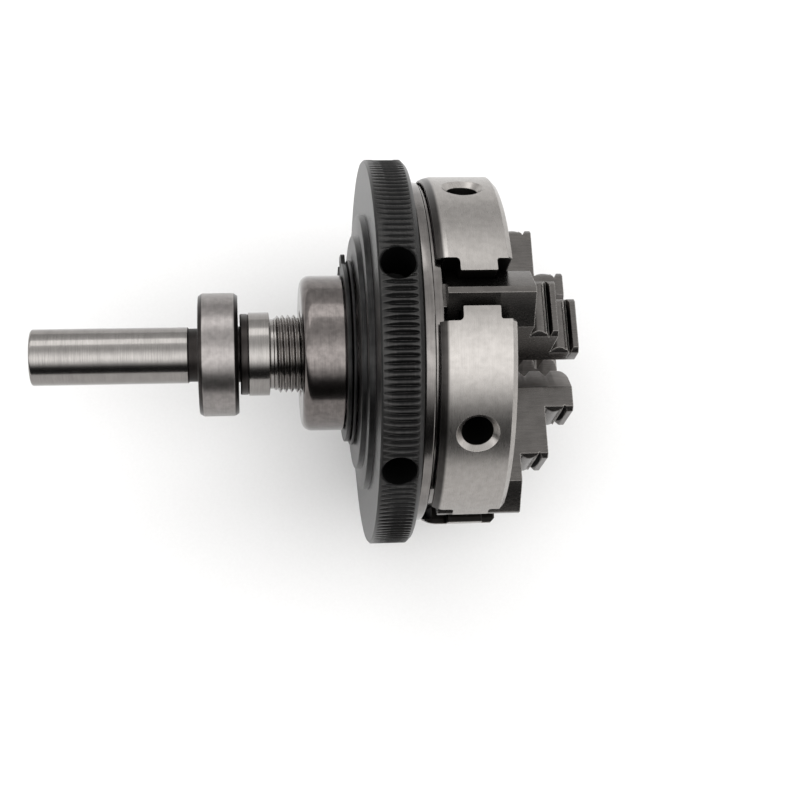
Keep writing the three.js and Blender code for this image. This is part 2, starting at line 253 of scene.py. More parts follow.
def repeated(skin: Skin, count: int, first: float = 0.0) -> Skin:
    """Copies of a surface spread evenly about X, the first turned by first radians."""
    return Skin.together([skin.turned(first + angle) for angle in around(count)])


def combine(piece: bpy.types.Object, tool: Skin, how: Join) -> None:
    """Joins a closed shape to a piece, or cuts it away, and keeps the result as the piece's mesh.

    Args:
        piece: the object that changes.
        tool: the closed shape.
        how: add or cut.
    """
    helper = tool.make("tool")
    step = piece.modifiers.new("step", "BOOLEAN")
    step.operation = how.value
    step.solver = "MANIFOLD"
    step.object = helper
    bpy.context.view_layer.update()
    view = bpy.context.evaluated_depsgraph_get()
    result = bpy.data.meshes.new_from_object(piece.evaluated_get(view))
    piece.modifiers.clear()
    spent = (piece.data, helper.data)
    piece.data = result
    bpy.data.objects.remove(helper)
    for mesh in spent:
        bpy.data.meshes.remove(mesh)
    piece.data.name = piece.name


def smooth(piece: bpy.types.Object, edge_degrees: float = 32.0) -> None:
    """Shades a piece smooth, with edges past the angle kept sharp and large faces kept flat."""
    mesh = piece.data
    mesh.polygons.foreach_set("use_smooth", np.ones(len(mesh.polygons), dtype=bool))
    mesh.set_sharp_from_angle(angle=math.radians(edge_degrees))
    weighted = piece.modifiers.new("flat_faces", "WEIGHTED_NORMAL")
    weighted.keep_sharp = True


# ---- finishes -----------------------------------------------------------------------


class Mark:
    """A value that changes over a surface, with arithmetic that adds Math nodes."""

    def __init__(self, recipe: "Recipe", socket: bpy.types.NodeSocket) -> None:
        """Wraps one output socket of a recipe."""
        self.recipe = recipe
        self.socket = socket

    def math(self, operation: str, *others: "Mark | float") -> "Mark":
        """A Math node of this value and others."""
        values = dict(enumerate((self, *others)))
        return self.recipe.add("ShaderNodeMath", {"operation": operation}, values).mark(0)

    def __add__(self, other: "Mark | float") -> "Mark":
        """self + other."""
        return self.math("ADD", other)

    def __sub__(self, other: "Mark | float") -> "Mark":
        """self - other."""
        return self.math("SUBTRACT", other)

    def __mul__(self, other: "Mark | float") -> "Mark":
        """self * other."""
        return self.math("MULTIPLY", other)

    def __rsub__(self, other: float) -> "Mark":
        """other - self."""
        values = {0: other, 1: self}
        return self.recipe.add("ShaderNodeMath", {"operation": "SUBTRACT"}, values).mark(0)

    __radd__ = __add__
    __rmul__ = __mul__

    def between(self, low: float, high: float) -> "Mark":
        """0 below low, 1 above high and a smooth step between them; high may be the lower one."""
        inputs = {0: self, 1: low, 2: high}
        if low > high:
            inputs = {0: self, 1: high, 2: low, 3: 1.0, 4: 0.0}
        settings = {"interpolation_type": "SMOOTHSTEP"}
        return self.recipe.add("ShaderNodeMapRange", settings, inputs).mark(0)


@dataclass
class Step:
    """One node of a recipe."""

    recipe: "Recipe"
    node: bpy.types.Node

    def mark(self, output: int | str) -> Mark:
        """One of the node's outputs, as a value to work with."""
        return Mark(self.recipe, self.node.outputs[output])


class Recipe:
    """The nodes of one material or world."""

    def __init__(self, owner: bpy.types.Material | bpy.types.World) -> None:
        """Empties the owner's node tree and starts on it."""
        owner.use_nodes = True
        self.tree = owner.node_tree
        self.tree.nodes.clear()

    def add(self, kind: str, settings: dict, inputs: dict) -> Step:
        """Adds a node.

        Args:
            kind: the node's type.
            settings: its properties, set first; stops holds a ramp's (place, value) pairs.
            inputs: values or links of its sockets, by name or number.

        Returns:
            The new node.
        """
        node = self.tree.nodes.new(kind)
        for name, value in settings.items():
            if name == "stops":
                self._set_stops(node.color_ramp, value)
            else:
                setattr(node, name, value)
        for key, value in inputs.items():
            if isinstance(value, Mark):
                self.tree.links.new(value.socket, node.inputs[key])
            else:
                node.inputs[key].default_value = value
        return Step(self, node)

    @staticmethod
    def _set_stops(ramp: bpy.types.ColorRamp, stops: list[tuple[float, float]]) -> None:
        """Gives a ramp its grey stops as (place, value) pairs, lowest place first."""
        ramp.interpolation = "B_SPLINE"
        while len(ramp.elements) < len(stops):
            ramp.elements.new(1.0)
        for element, (place, value) in zip(ramp.elements, stops):
            element.position = place
            element.color = (value, value, value, 1.0)

    def noise(self, spot: tuple[Mark, ...], detail: float, roughness: float = 0.5) -> Mark:
        """Soft noise, 0 to 1, at a point given by three values, a unit of each to a blotch."""
        point = self.add("ShaderNodeCombineXYZ", {}, dict(enumerate(spot))).mark(0)
        inputs = {"Vector": point, "Scale": 1.0, "Detail": detail, "Roughness": roughness}
        return self.add("ShaderNodeTexNoise", {}, inputs).mark(0)

    def mix(self, share: Mark, low: Colour | Mark, high: Colour | Mark) -> Mark:
        """A colour between low and high."""
        ends = [end if isinstance(end, Mark) else (*end, 1.0) for end in (low, high)]
        inputs = {0: share, 6: ends[0], 7: ends[1]}
        return self.add("ShaderNodeMix", {"data_type": "RGBA"}, inputs).mark(2)

    def dot(self, one: Mark | Vector, other: Mark | Vector) -> Mark:
        """The dot product of two directions."""
        settings = {"operation": "DOT_PRODUCT"}
        return self.add("ShaderNodeVectorMath", settings, {0: one, 1: other}).mark("Value")

    def edges(self, reach: float, low: float, high: float) -> tuple[Mark, Mark]:
        """Finds the edges, where a softened normal turns away from the face's own.

        Args:
            reach: how far the softening reaches, in millimetres.
            low: one less the cosine of the turn below which there is no edge.
            high: the same for the turn above which the edge is full.

        Returns:
            The softened normal, and how much of an edge there is, 0 to 1.
        """
        soft = self.add("ShaderNodeBevel", {"samples": 6}, {"Radius": reach * MM}).mark(0)
        flat = self.add("ShaderNodeNewGeometry", {}, {}).mark("True Normal")
        return soft, (1.0 - self.dot(soft, flat)).between(low, high)

    def metal(self, colour: Mark, share: float, rough: Mark, height: Mark, depth: float,
              normal: Mark) -> None:
        """Ends the recipe with a bumped metal surface.

        Args:
            colour: its base colour.
            share: how metallic it is.
            rough: its roughness.
            height: what the bump follows, 0 to 1.
            depth: the bump's depth in millimetres.
            normal: the normal that the bump leans on.
        """
        bumped = self.add("ShaderNodeBump", {}, {
            "Strength": 1.0, "Distance": depth * MM, "Height": height, "Normal": normal,
        }).mark(0)
        shader = self.add("ShaderNodeBsdfPrincipled", {}, {
            "Base Color": colour, "Metallic": share, "Roughness": rough, "Normal": bumped,
        })
        self.add("ShaderNodeOutputMaterial", {}, {"Surface": shader.mark(0)})


@dataclass(frozen=True)
class Place:
    """Where a point of the surface is, in millimetres.

    radius is its distance from X, and aside is its distance from the nearer one of the planes
    through X that the jaws lie along.
    """

    x: Mark
    y: Mark
    z: Mark
    radius: Mark
    aside: Mark

    @staticmethod
    def on(recipe: Recipe) -> "Place":
        """Reads the object coordinates of a recipe."""
        inputs = {0: recipe.add("ShaderNodeTexCoord", {}, {}).mark("Object"), 3: 1 / MM}
        scaled = recipe.add("ShaderNodeVectorMath", {"operation": "SCALE"}, inputs).mark(0)
        axes = recipe.add("ShaderNodeSeparateXYZ", {}, {0: scaled})
        x, y, z = (axes.mark(axis) for axis in range(3))
        aside = y.math("ABSOLUTE").math("MINIMUM", z.math("ABSOLUTE"))
        return Place(x, y, z, (y * y + z * z).math("SQRT"), aside)

    def spot(self, fine: float) -> tuple[Mark, Mark, Mark]:
        """The point as three values, each times fine."""
        return self.x * fine, self.y * fine, self.z * fine

    def ring(self) -> Mark:
        """x + 0.7 r, whose levels are rings on a cylinder, a face or a cone alike."""
        return self.x + self.radius * 0.7


@dataclass(frozen=True)
class Patch:
    """A stretch of a piece with another tone, between two stations and two radii.

    Some patches hold the piece's own tone and some are painted shade.

    aside keeps it within that distance of the jaws' planes, 0 for no such limit. share is how
    much of the tone shows, and soft is the width over which it fades. All are in millimetres
    but share.
    """

    rear: float
    front: float
    colour: Colour
    roughness: float
    inner: float = -1.0
    outer: float = 1000.0
    aside: float = 0.0
    share: float = 0.95
    soft: float = 0.12

    def mask(self, place: Place) -> Mark:
        """How much of the patch there is at a place: its share inside and 0 outside."""
        ahead = place.x.between(self.rear, self.rear + self.soft)
        behind = place.x.between(self.front, self.front - self.soft)
        above = place.radius.between(self.inner, self.inner + self.soft)
        below = place.radius.between(self.outer, self.outer - self.soft)
        whole = ahead * behind * above * below * self.share
        if not self.aside:
            return whole
        return whole * place.aside.between(self.aside, self.aside - self.soft)


@dataclass(frozen=True)
class SteelFinish:
    """Bare steel with tool marks, soft blotches, lighter edges and patches of another tone.

    light and dark are the colours that the marks swing between, and the edges take a lighter
    colour, partly wear and partly a painted highlight. streak is the width of a tool mark and
    blotch the size of a blotch, in millimetres.
    """

    name: str
    light: Colour
    dark: Colour
    grain: Grain
    streak: float = 0.16
    blotch: float = 2.2
    blotch_share: float = 0.35
    roughness: float = 0.26
    roughness_swing: float = 0.12
    bump: float = 0.0012
    edge: float = 0.12
    edge_light: float = 0.35
    lightened: Colour = (0.42, 0.4, 0.385)
    patches: tuple[Patch, ...] = ()

    def marks(self, recipe: Recipe, place: Place) -> tuple[Mark, Mark]:
        """The tool marks, coarse and fine.

        Turned marks are rings about the axis, and ground marks follow x along the jaw. Both
        change slowly the other ways.

        Args:
            recipe: the material's nodes.
            place: the point on the surface.

        Returns:
            The coarse and the fine marks, each 0 to 1.
        """
        dense = 1 / self.streak
        if self.grain is Grain.TURNED:
            ring = place.ring()
            coarse = recipe.noise((ring * dense, place.y * 0.22, place.z * 0.22), 2.0)
            fine = (ring * (3.1 * dense), place.y * 0.6, place.z * 0.6)
            return coarse, recipe.noise(fine, 3.0, 0.65)
        if self.grain is Grain.GROUND:
            across, up = place.y * dense, place.z * dense
            coarse = recipe.noise((place.x * 0.35, across, up), 2.0)
            return coarse, recipe.noise((place.x * 1.1, across * 2.7, up * 2.7), 3.0, 0.65)
        coarse = recipe.noise(place.spot(0.6 * dense), 3.0)
        return coarse, recipe.noise(place.spot(2.0 * dense), 2.0)

    def make(self) -> bpy.types.Material:
        """Builds the material.

        Returns:
            The finished material.
        """
        material = bpy.data.materials.new(self.name)
        recipe = Recipe(material)
        place = Place.on(recipe)
        coarse, fine = self.marks(recipe, place)
        blotch = recipe.noise(place.spot(1 / self.blotch), 3.0)
        tone = coarse * 0.6 + fine * 0.4
        share = tone * (1 - self.blotch_share) + blotch * self.blotch_share
        share = share.between(0.28, 0.72)
        colour = recipe.mix(share, self.dark, self.light)
        broken, edges = recipe.edges(self.edge, 0.01, 0.2)
        rough = self.roughness - self.roughness_swing / 2 + fine * self.roughness_swing
        for patch in self.patches:
            there = patch.mask(place)
            low, high = (tuple(level * swing for level in patch.colour) for swing in (0.65, 1.2))
            colour = recipe.mix(there, colour, recipe.mix(share, low, high))
            rough = rough + (patch.roughness - rough) * there
        # Edges take a lighter colour: partly wear, partly a painted highlight along them.
        colour = recipe.mix(edges * self.edge_light, colour, self.lightened)
        recipe.metal(colour, 1.0, rough, coarse * 0.5 + fine * 0.5, self.bump, broken)
        return material


@dataclass(frozen=True)
class OxideFinish:
    """Blackened steel, a little rubbed on its edges, with a thin film of oil and darker patches.

    rubbed_radius is the radius past which the outside is rubbed greyer, 0 for nowhere, and
    rubbed is how far it goes towards steel there.
    """

    name: str
    black: Colour = (0.004, 0.004, 0.004)
    grey: Colour = (0.02, 0.0195, 0.019)
    steel: Colour = (0.13, 0.125, 0.122)
    roughness: float = 0.34
    roughness_swing: float = 0.12
    bump: float = 0.004
    edge: float = 0.14
    rubbed: float = 0.14
    rubbed_radius: float = 0.0
    patches: tuple[Patch, ...] = ()

    def make(self) -> bpy.types.Material:
        """Builds the material.

        Returns:
            The finished material.
        """
        material = bpy.data.materials.new(self.name)
        recipe = Recipe(material)
        place = Place.on(recipe)
        turned = recipe.noise((place.ring() * 5.0, place.y * 0.25, place.z * 0.25), 3.0, 0.6)
        bloom = recipe.noise(place.spot(0.5), 4.0, 0.6)
        share = (turned * 0.55 + bloom * 0.45).between(0.35, 0.7)
        colour = recipe.mix(share, self.black, self.grey)
        broken, edges = recipe.edges(self.edge, 0.03, 0.3)
        lightened = edges * bloom.between(0.25, 0.6) * 0.7
        if self.rubbed_radius:
            land = place.radius.between(self.rubbed_radius, self.rubbed_radius + 0.1)
            lightened = lightened.math("MAXIMUM", land * self.rubbed)
        grit = recipe.noise(place.spot(9.0), 2.0)
        rough = self.roughness - self.roughness_swing / 2 + grit * self.roughness_swing
        for patch in self.patches:
            there = patch.mask(place)
            colour = recipe.mix(there, colour, patch.colour)
            rough = rough + (patch.roughness - rough) * there
        colour = recipe.mix(lightened, colour, self.steel)
        recipe.metal(colour, 0.75, rough, turned * 0.5 + grit * 0.5, self.bump, broken)
        return material


@dataclass
class Finishes:
    """Every finish of the chuck, each made once."""

    body: bpy.types.Material
    arbor: bpy.types.Material
    jaw: bpy.types.Material
    wheel: bpy.types.Material
    ring: bpy.types.Material
    plate: bpy.types.Material
    bearing: bpy.types.Material
    shield: bpy.types.Material
    cage: bpy.types.Material
    ball: bpy.types.Material

    @staticmethod
    def mixed() -> "Finishes":
        """Makes the finishes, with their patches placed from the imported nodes.

        Returns:
            The set of finishes.
        """
        # a dark tone for the bearing's chamfers and for two bands on the arbor
        dark_band = (0.022, 0.019, 0.018)
        return Finishes(
            body=SteelFinish(
                "brushed body steel", (0.34, 0.322, 0.307), (0.27, 0.256, 0.243), Grain.TURNED,
                streak=0.11, blotch=1.1, blotch_share=0.55, roughness=0.28,
                patches=ChuckBody.patches(Span.of("chuck_body")),
            ).make(),
            arbor=SteelFinish(
                "turned arbor steel", (0.27, 0.257, 0.246), (0.19, 0.18, 0.172), Grain.TURNED,
                roughness=0.17, roughness_swing=0.08,
                # darker, rougher bands on the neck behind the bearing and on the shoulder in front
                # of it
                patches=(
                    Patch(Arbor.shank_length - 0.1, Arbor.seat_start + 0.4, dark_band, 0.5),
                    Patch(Arbor.seat_end - 0.4, Arbor.collar_start + 0.03, dark_band, 0.35),
                ),
            ).make(),
            jaw=SteelFinish(
                "ground jaw steel", (0.13, 0.122, 0.116), (0.085, 0.08, 0.076), Grain.GROUND,
                # the jaws' edges take the lighter colour in full, near white: wear and a painted
                # highlight line
                roughness=0.27, edge_light=1.0, edge=0.2, lightened=(0.45, 0.43, 0.41),
                patches=Jaw.patches(Span.of("jaw_1")),
            ).make(),
            wheel=KnurledWheel.finish(Span.of("scroll_wheel")).make(),
            ring=OxideFinish("blackened spring steel", roughness=0.4).make(),
            plate=SteelFinish(
                "turned scroll steel", (0.2, 0.188, 0.18), (0.12, 0.113, 0.108), Grain.TURNED,
                roughness=0.16, blotch_share=0.5,
            ).make(),
            bearing=SteelFinish(
                "honed bearing steel", (0.27, 0.252, 0.244), (0.19, 0.178, 0.172), Grain.TURNED,
                streak=0.15, blotch=1.1, blotch_share=0.6, roughness=0.3, roughness_swing=0.08,
                patches=Bearing.patches(Span.of("bearing_outer_ring"), dark_band),
            ).make(),
            shield=SteelFinish(
                "pressed shield steel", (0.06, 0.057, 0.055), (0.03, 0.029, 0.028), Grain.TURNED,
                roughness=0.35,
            ).make(),
            cage=SteelFinish(
                "stamped cage steel", (0.3, 0.26, 0.19), (0.2, 0.17, 0.12), Grain.PLAIN,
                roughness=0.35,
            ).make(),
            ball=SteelFinish(
                "polished ball steel", (0.6, 0.6, 0.6), (0.5, 0.5, 0.5), Grain.PLAIN,
                roughness=0.08, roughness_swing=0.04, bump=0.0001,
            ).make(),
        )


# ---- sub-assemblies -----------------------------------------------------------------


@dataclass(frozen=True)
class Span:
    """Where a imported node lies, in millimetres: its ends along X and its reach from the axis."""

    rear: float
    front: float
    reach: float

    @staticmethod
    def of(node: str) -> "Span":
        """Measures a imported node."""
        low, high = (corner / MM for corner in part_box(node))
        return Span(low.x, high.x, max(-low.y, -low.z, high.y, high.z))


def fit(
    piece: bpy.types.Object, body: str, slot: str, finish: bpy.types.Material, *nodes: str
) -> None:
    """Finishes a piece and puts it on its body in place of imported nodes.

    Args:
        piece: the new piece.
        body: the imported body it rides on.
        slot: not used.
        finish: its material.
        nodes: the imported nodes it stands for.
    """
    smooth(piece)
    piece.data.materials.clear()
    piece.data.materials.append(finish)
    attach(piece, body)
    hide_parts(*nodes)
    log.info("%s: %d faces, on %s", piece.name, len(piece.data.polygons), body)


@dataclass
class Arbor:
    """The plain shank, bearing seat, shoulder, collar and right-hand thread, all one piece."""

    shank_radius: float = 5.0
    shank_length: float = 27.5
    neck_radius: float = 4.75
    seat_start: float = 29.2
    seat_end: float = 36.7
    shoulder_radius: float = 7.25
    collar_start: float = 38.15
    collar_radius: float = 7.45
    collar_end: float = 42.05
    thread_start: float = 42.7
    thread_radius: float = 7.0
    thread_depth: float = 0.61
    thread_pitch: float = 1.0
    thread_shown: float = 6.2
    root_drop: float = 0.65
    relief_drop: float = 0.75
    core_radius: float = 6.9
    end_middle: float = 0.8
    columns: int = 160

    def plain_profile(self) -> Array:
        """The stepped profile up to the thread, with broken edges."""
        relief = self.thread_radius - self.relief_drop
        return rounded(np.array([
            (0, self.end_middle, 0), (0, self.shank_radius, 0.45),
            (self.shank_length, self.shank_radius, 0.2),
            (self.shank_length + 0.15, self.neck_radius, 0.1),
            (self.seat_start, self.neck_radius, 0.05),
            (self.seat_start, self.shank_radius, 0.05), (self.seat_end, self.shank_radius, 0.05),
            (self.seat_end, self.shoulder_radius, 0.25),
            (self.collar_start - 0.12, self.shoulder_radius, 0.05),
            (self.collar_start - 0.05, self.shoulder_radius - 0.35, 0.03),
            (self.collar_start + 0.05, self.collar_radius, 0.15),
            (self.collar_end - 0.2, self.collar_radius, 0.12),
            (self.collar_end, relief, 0.1), (self.thread_start - 0.1, relief, 0.05),
            (self.thread_start, self.thread_radius - self.root_drop, 0),
        ]), steps=4, closed=False)

    def thread_grid(self, angles: Array) -> Array:
        """The threaded length.

        At station x and angle a the radius is the crest's less depth times w, where w is a wave
        of x / pitch - a / full turn: 0 on the crest, 1 in the root and straight between, with
        both rounded a little. The thread grows from its root over the first turn.

        Args:
            angles: angles about X.

        Returns:
            The grid as (rows, angles, 3).
        """
        x = np.arange(0, self.thread_shown, self.thread_pitch / 14)[:, None]
        phase = np.mod(x / self.thread_pitch - angles / FULL_TURN, 1)
        wave = np.clip(1.18 * np.abs(2 * phase - 1) - 0.09, 0, 1)
        start = np.clip(x / (0.7 * self.thread_pitch), 0, 1)
        radius = self.thread_radius - self.thread_depth * (1 - (1 - wave) * start)
        station = np.broadcast_to(self.thread_start + 0.05 + x, radius.shape)
        return spun(np.stack([station, radius], axis=-1), angles)

    def build(self, finishes: Finishes) -> None:
        """Makes the arbor."""
        angles = around(self.columns)
        end = Span.of("arbor").front
        shown = self.thread_start + self.thread_shown
        tail = rounded(np.array([
            (shown, self.thread_radius - self.root_drop, 0), (shown + 0.1, self.core_radius, 0.05),
            (end - 0.8, self.core_radius, 0.1), (end, self.core_radius - 0.8, 0.1),
            (end, self.end_middle, 0),
        ]), closed=False)
        rows = [spun(self.plain_profile(), angles), self.thread_grid(angles), spun(tail, angles)]
        piece = Skin.over(np.concatenate(rows), looped=False).make("arbor_turned")
        fit(piece, "chuck", "ground_steel", finishes.arbor, "arbor")


@dataclass
class Bearing:
    """The shielded support bearing: rings, shields, ribbon cage and balls."""

    ring_bore: float = 9.3
    ring_chamfer: float = 0.75
    inner_bore: float = 5.3
    inner_outside: float = 6.7
    ball_radius: float = 1.5
    ball_circle: float = 8.0
    ball_count: int = 8
    race_play: float = 0.06
    ribbon: float = 0.28
    ribbon_height: float = 0.4
    ribbon_leave: float = 0.18
    pocket_play: float = 0.12
    shield_bore: float = 7.0
    shield_dish: float = 0.08

    @classmethod
    def patches(cls, span: Span, dark_band: Colour) -> tuple[Patch, ...]:
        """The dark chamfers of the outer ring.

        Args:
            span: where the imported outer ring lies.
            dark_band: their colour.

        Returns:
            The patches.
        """
        soft = cls.ring_chamfer
        ends = ((span.rear - 1, span.rear + soft), (span.front - soft, span.front + 1))
        inner = span.reach - soft - 0.2
        return tuple(Patch(low, high, dark_band, 0.3, inner=inner) for low, high in ends)

    def race(self, middle: float, inner: bool) -> list[tuple[float, float, float]]:
        """Corners of a raceway groove, as part of a ring's profile.

        Args:
            middle: station of the ball centres.
            inner: True for the inner ring's groove.

        Returns:
            Corners as (x, radius, edge round).
        """
        side = -1 if inner else 1
        wall = (self.inner_outside if inner else self.ring_bore) - self.ball_circle
        reach = self.ball_radius + self.race_play
        edge = math.acos(abs(wall) / reach)
        reach *= side
        return [
            (middle - reach * math.sin(a), self.ball_circle + reach * math.cos(a), 0.01)
            for a in np.linspace(-edge, edge, 9)
        ]

    def outer_ring(self, span: Span) -> Skin:
        """The outer ring, with rounded edges outside and recesses for the shields."""
        middle = (span.rear + span.front) / 2
        soft = self.ring_chamfer
        return turned_ring([
            (span.rear, self.ring_bore + 0.12, 0.08), (span.rear, span.reach - 0.5, 0.35),
            (span.rear + soft, span.reach, 0.7), (span.front - soft, span.reach, 0.7),
            (span.front, span.reach - 0.5, 0.35), (span.front, self.ring_bore + 0.12, 0.08),
            (span.front - 0.45, self.ring_bore, 0.04), *self.race(middle, inner=False),
            (span.rear + 0.45, self.ring_bore, 0.04),
        ], columns=224)

    def inner_ring(self, span: Span) -> Skin:
        """The inner ring."""
        middle = (span.rear + span.front) / 2
        return turned_ring([
            (span.front, self.inner_bore, 0.2), (span.rear, self.inner_bore, 0.2),
            (span.rear, self.inner_outside, 0.12), *self.race(middle, inner=True),
            (span.front, self.inner_outside, 0.12),
        ], columns=128)

    def cage_half(self, middle: float, side: int) -> Skin:
        """One half of the ribbon cage.

        Beside a ball its station leaves the middle by the ball's own outline and a little play:
        the square root of the radius squared less the distance squared. Between balls it
        leaves it by a small fixed distance.

        Args:
            middle: station of the ball centres.
            side: 1 towards the jaws, -1 towards the shank.

        Returns:
            The ribbon.
        """
        angles = around(self.ball_count * 24)
        pitch = FULL_TURN / self.ball_count
        apart = np.abs(np.mod(angles / pitch + 0.5, 1) - 0.5) * pitch
        reach = self.ball_radius + self.pocket_play
        pocket = np.sqrt(np.clip(reach ** 2 - (apart * self.ball_circle) ** 2, 0, None))
        leave = np.maximum(pocket, self.ribbon_leave)
        section = np.array([(0, -1), (0, 1), (1, 1), (1, -1)]) * (self.ribbon, self.ribbon_height)
        x = middle + side * (leave[:, None] + section[:, 0])
        a = angles[:, None] + math.pi / 2
        return Skin.over(about_axis(x, self.ball_circle + section[:, 1], a), looped=True)

    def ball(self, middle: float) -> Skin:
        """A ball along +Z: latitude by longitude, with a small flat where each pole closes."""
        pole = 0.06
        tilt = np.linspace(pole, math.pi - pole, 23)
        height = self.ball_circle + self.ball_radius * np.cos(tilt)
        return drill(middle, list(zip(height, self.ball_radius * np.sin(tilt))), columns=40)

    def shield(self, span: Span) -> Skin:
        """A shield: a thin disc with a dished band round its middle."""
        low, high, bore = span.rear, span.front, self.shield_bore
        dish = low + self.shield_dish
        return turned_ring([
            (low, bore, 0.05), (low, bore + 0.5, 0.05), (dish, bore + 0.8, 0.05),
            (dish, bore + 1.5, 0.05), (low, bore + 1.7, 0.05), (low, span.reach, 0.05),
            (high, span.reach, 0.05), (high, bore, 0.05),
        ], columns=128)

    def build(self, finishes: Finishes) -> None:
        """Makes the bearing's pieces."""
        span = Span.of("bearing_outer_ring")
        middle = (span.rear + span.front) / 2
        outer = self.outer_ring(span).make("bearing_outer_honed")
        fit(outer, "bearing_outer", "ground_steel", finishes.bearing, "bearing_outer_ring")
        inner = self.inner_ring(Span.of("bearing_inner_ring")).make("bearing_inner_honed")
        fit(inner, "chuck", "ground_steel", finishes.bearing, "bearing_inner_ring")
        for end in ("rear", "front"):
            node = f"bearing_shield_{end}"
            shield = self.shield(Span.of(node)).make(f"shield_{end}_pressed")
            fit(shield, "bearing_outer", "shield_steel", finishes.shield, node)
        halves = [self.cage_half(middle, side) for side in (1, -1)]
        cage = Skin.together(halves).make("cage_ribbon")
        fit(cage, "ball_set", "cage_steel", finishes.cage, "bearing_cage")
        for index in range(self.ball_count):
            turn = index * FULL_TURN / self.ball_count
            ball = self.ball(middle).turned(turn).make(f"ball_{index + 1}_polished")
            fit(ball, "ball_set", "ball_steel", finishes.ball, f"bearing_ball_{index + 1}")


@dataclass
class RingAndWasher:
    """The retaining ring in the hub's groove and the thrust washer in front of it."""

    ring_bore: float = 13.3
    ring_outside: float = 16.0
    lug_reach: float = 17.75
    lug_start: float = 7.0
    lug_end: float = 17.0
    lug_fade: float = 8.0
    hole_turn: float = 13.0
    hole_radius: float = 0.8
    hole_circle: float = 16.0
    washer_bore: float = 14.2

    def ring(self, span: Span) -> Skin:
        """The open ring. Its outside swells to the lugs by half a cosine past the lug's end.

        Args:
            span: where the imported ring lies.

        Returns:
            The ring, open towards +Y.
        """
        degrees = np.linspace(self.lug_start, 360 - self.lug_start, 400)
        off = np.minimum(degrees, 360 - degrees)
        swell = (1 + np.cos(math.pi * np.clip((off - self.lug_end) / self.lug_fade, 0, 1))) / 2
        outside = self.ring_outside + (self.lug_reach - self.ring_outside) * swell
        corners = np.zeros((len(degrees), 4, 3))
        corners[:, :, 0] = (span.rear, span.rear, span.front, span.front)
        corners[:, :, 1] = self.ring_bore
        corners[:, 1:3, 1] = outside[:, None]
        corners[:, :, 2] = 0.1
        section = rounded(corners)
        turn = np.radians(degrees)[:, None]
        return Skin.over(about_axis(section[..., 0], section[..., 1], turn), looped=False)

    def build(self, finishes: Finishes) -> None:
        """Makes the ring and the washer."""
        span = Span.of("retaining_ring")
        ring = self.ring(span).make("retaining_ring_sprung")
        circle = np.stack([np.cos(around(32)), np.sin(around(32))], axis=-1) * self.hole_radius
        hole = prism(circle, -2, 2)
        middle = ((span.rear + span.front) / 2, 0, self.hole_circle)
        along_x = Skin(hole.points[:, [2, 1, 0]] + middle, hole.quads, hole.caps).outward()
        turn = math.radians(self.hole_turn)
        holes = [along_x.turned(-math.pi / 2 + side * turn) for side in (1, -1)]
        combine(ring, Skin.together(holes), Join.CUT)
        fit(ring, "chuck", "black_oxide", finishes.ring, "retaining_ring")
        place = Span.of("thrust_washer")
        washer = turned_ring([
            (place.rear, self.washer_bore, 0.05), (place.rear, place.reach, 0.12),
            (place.front, place.reach, 0.12), (place.front, self.washer_bore, 0.05),
        ]).make("thrust_washer_turned")
        fit(washer, "chuck", "black_oxide", finishes.ring, "thrust_washer")


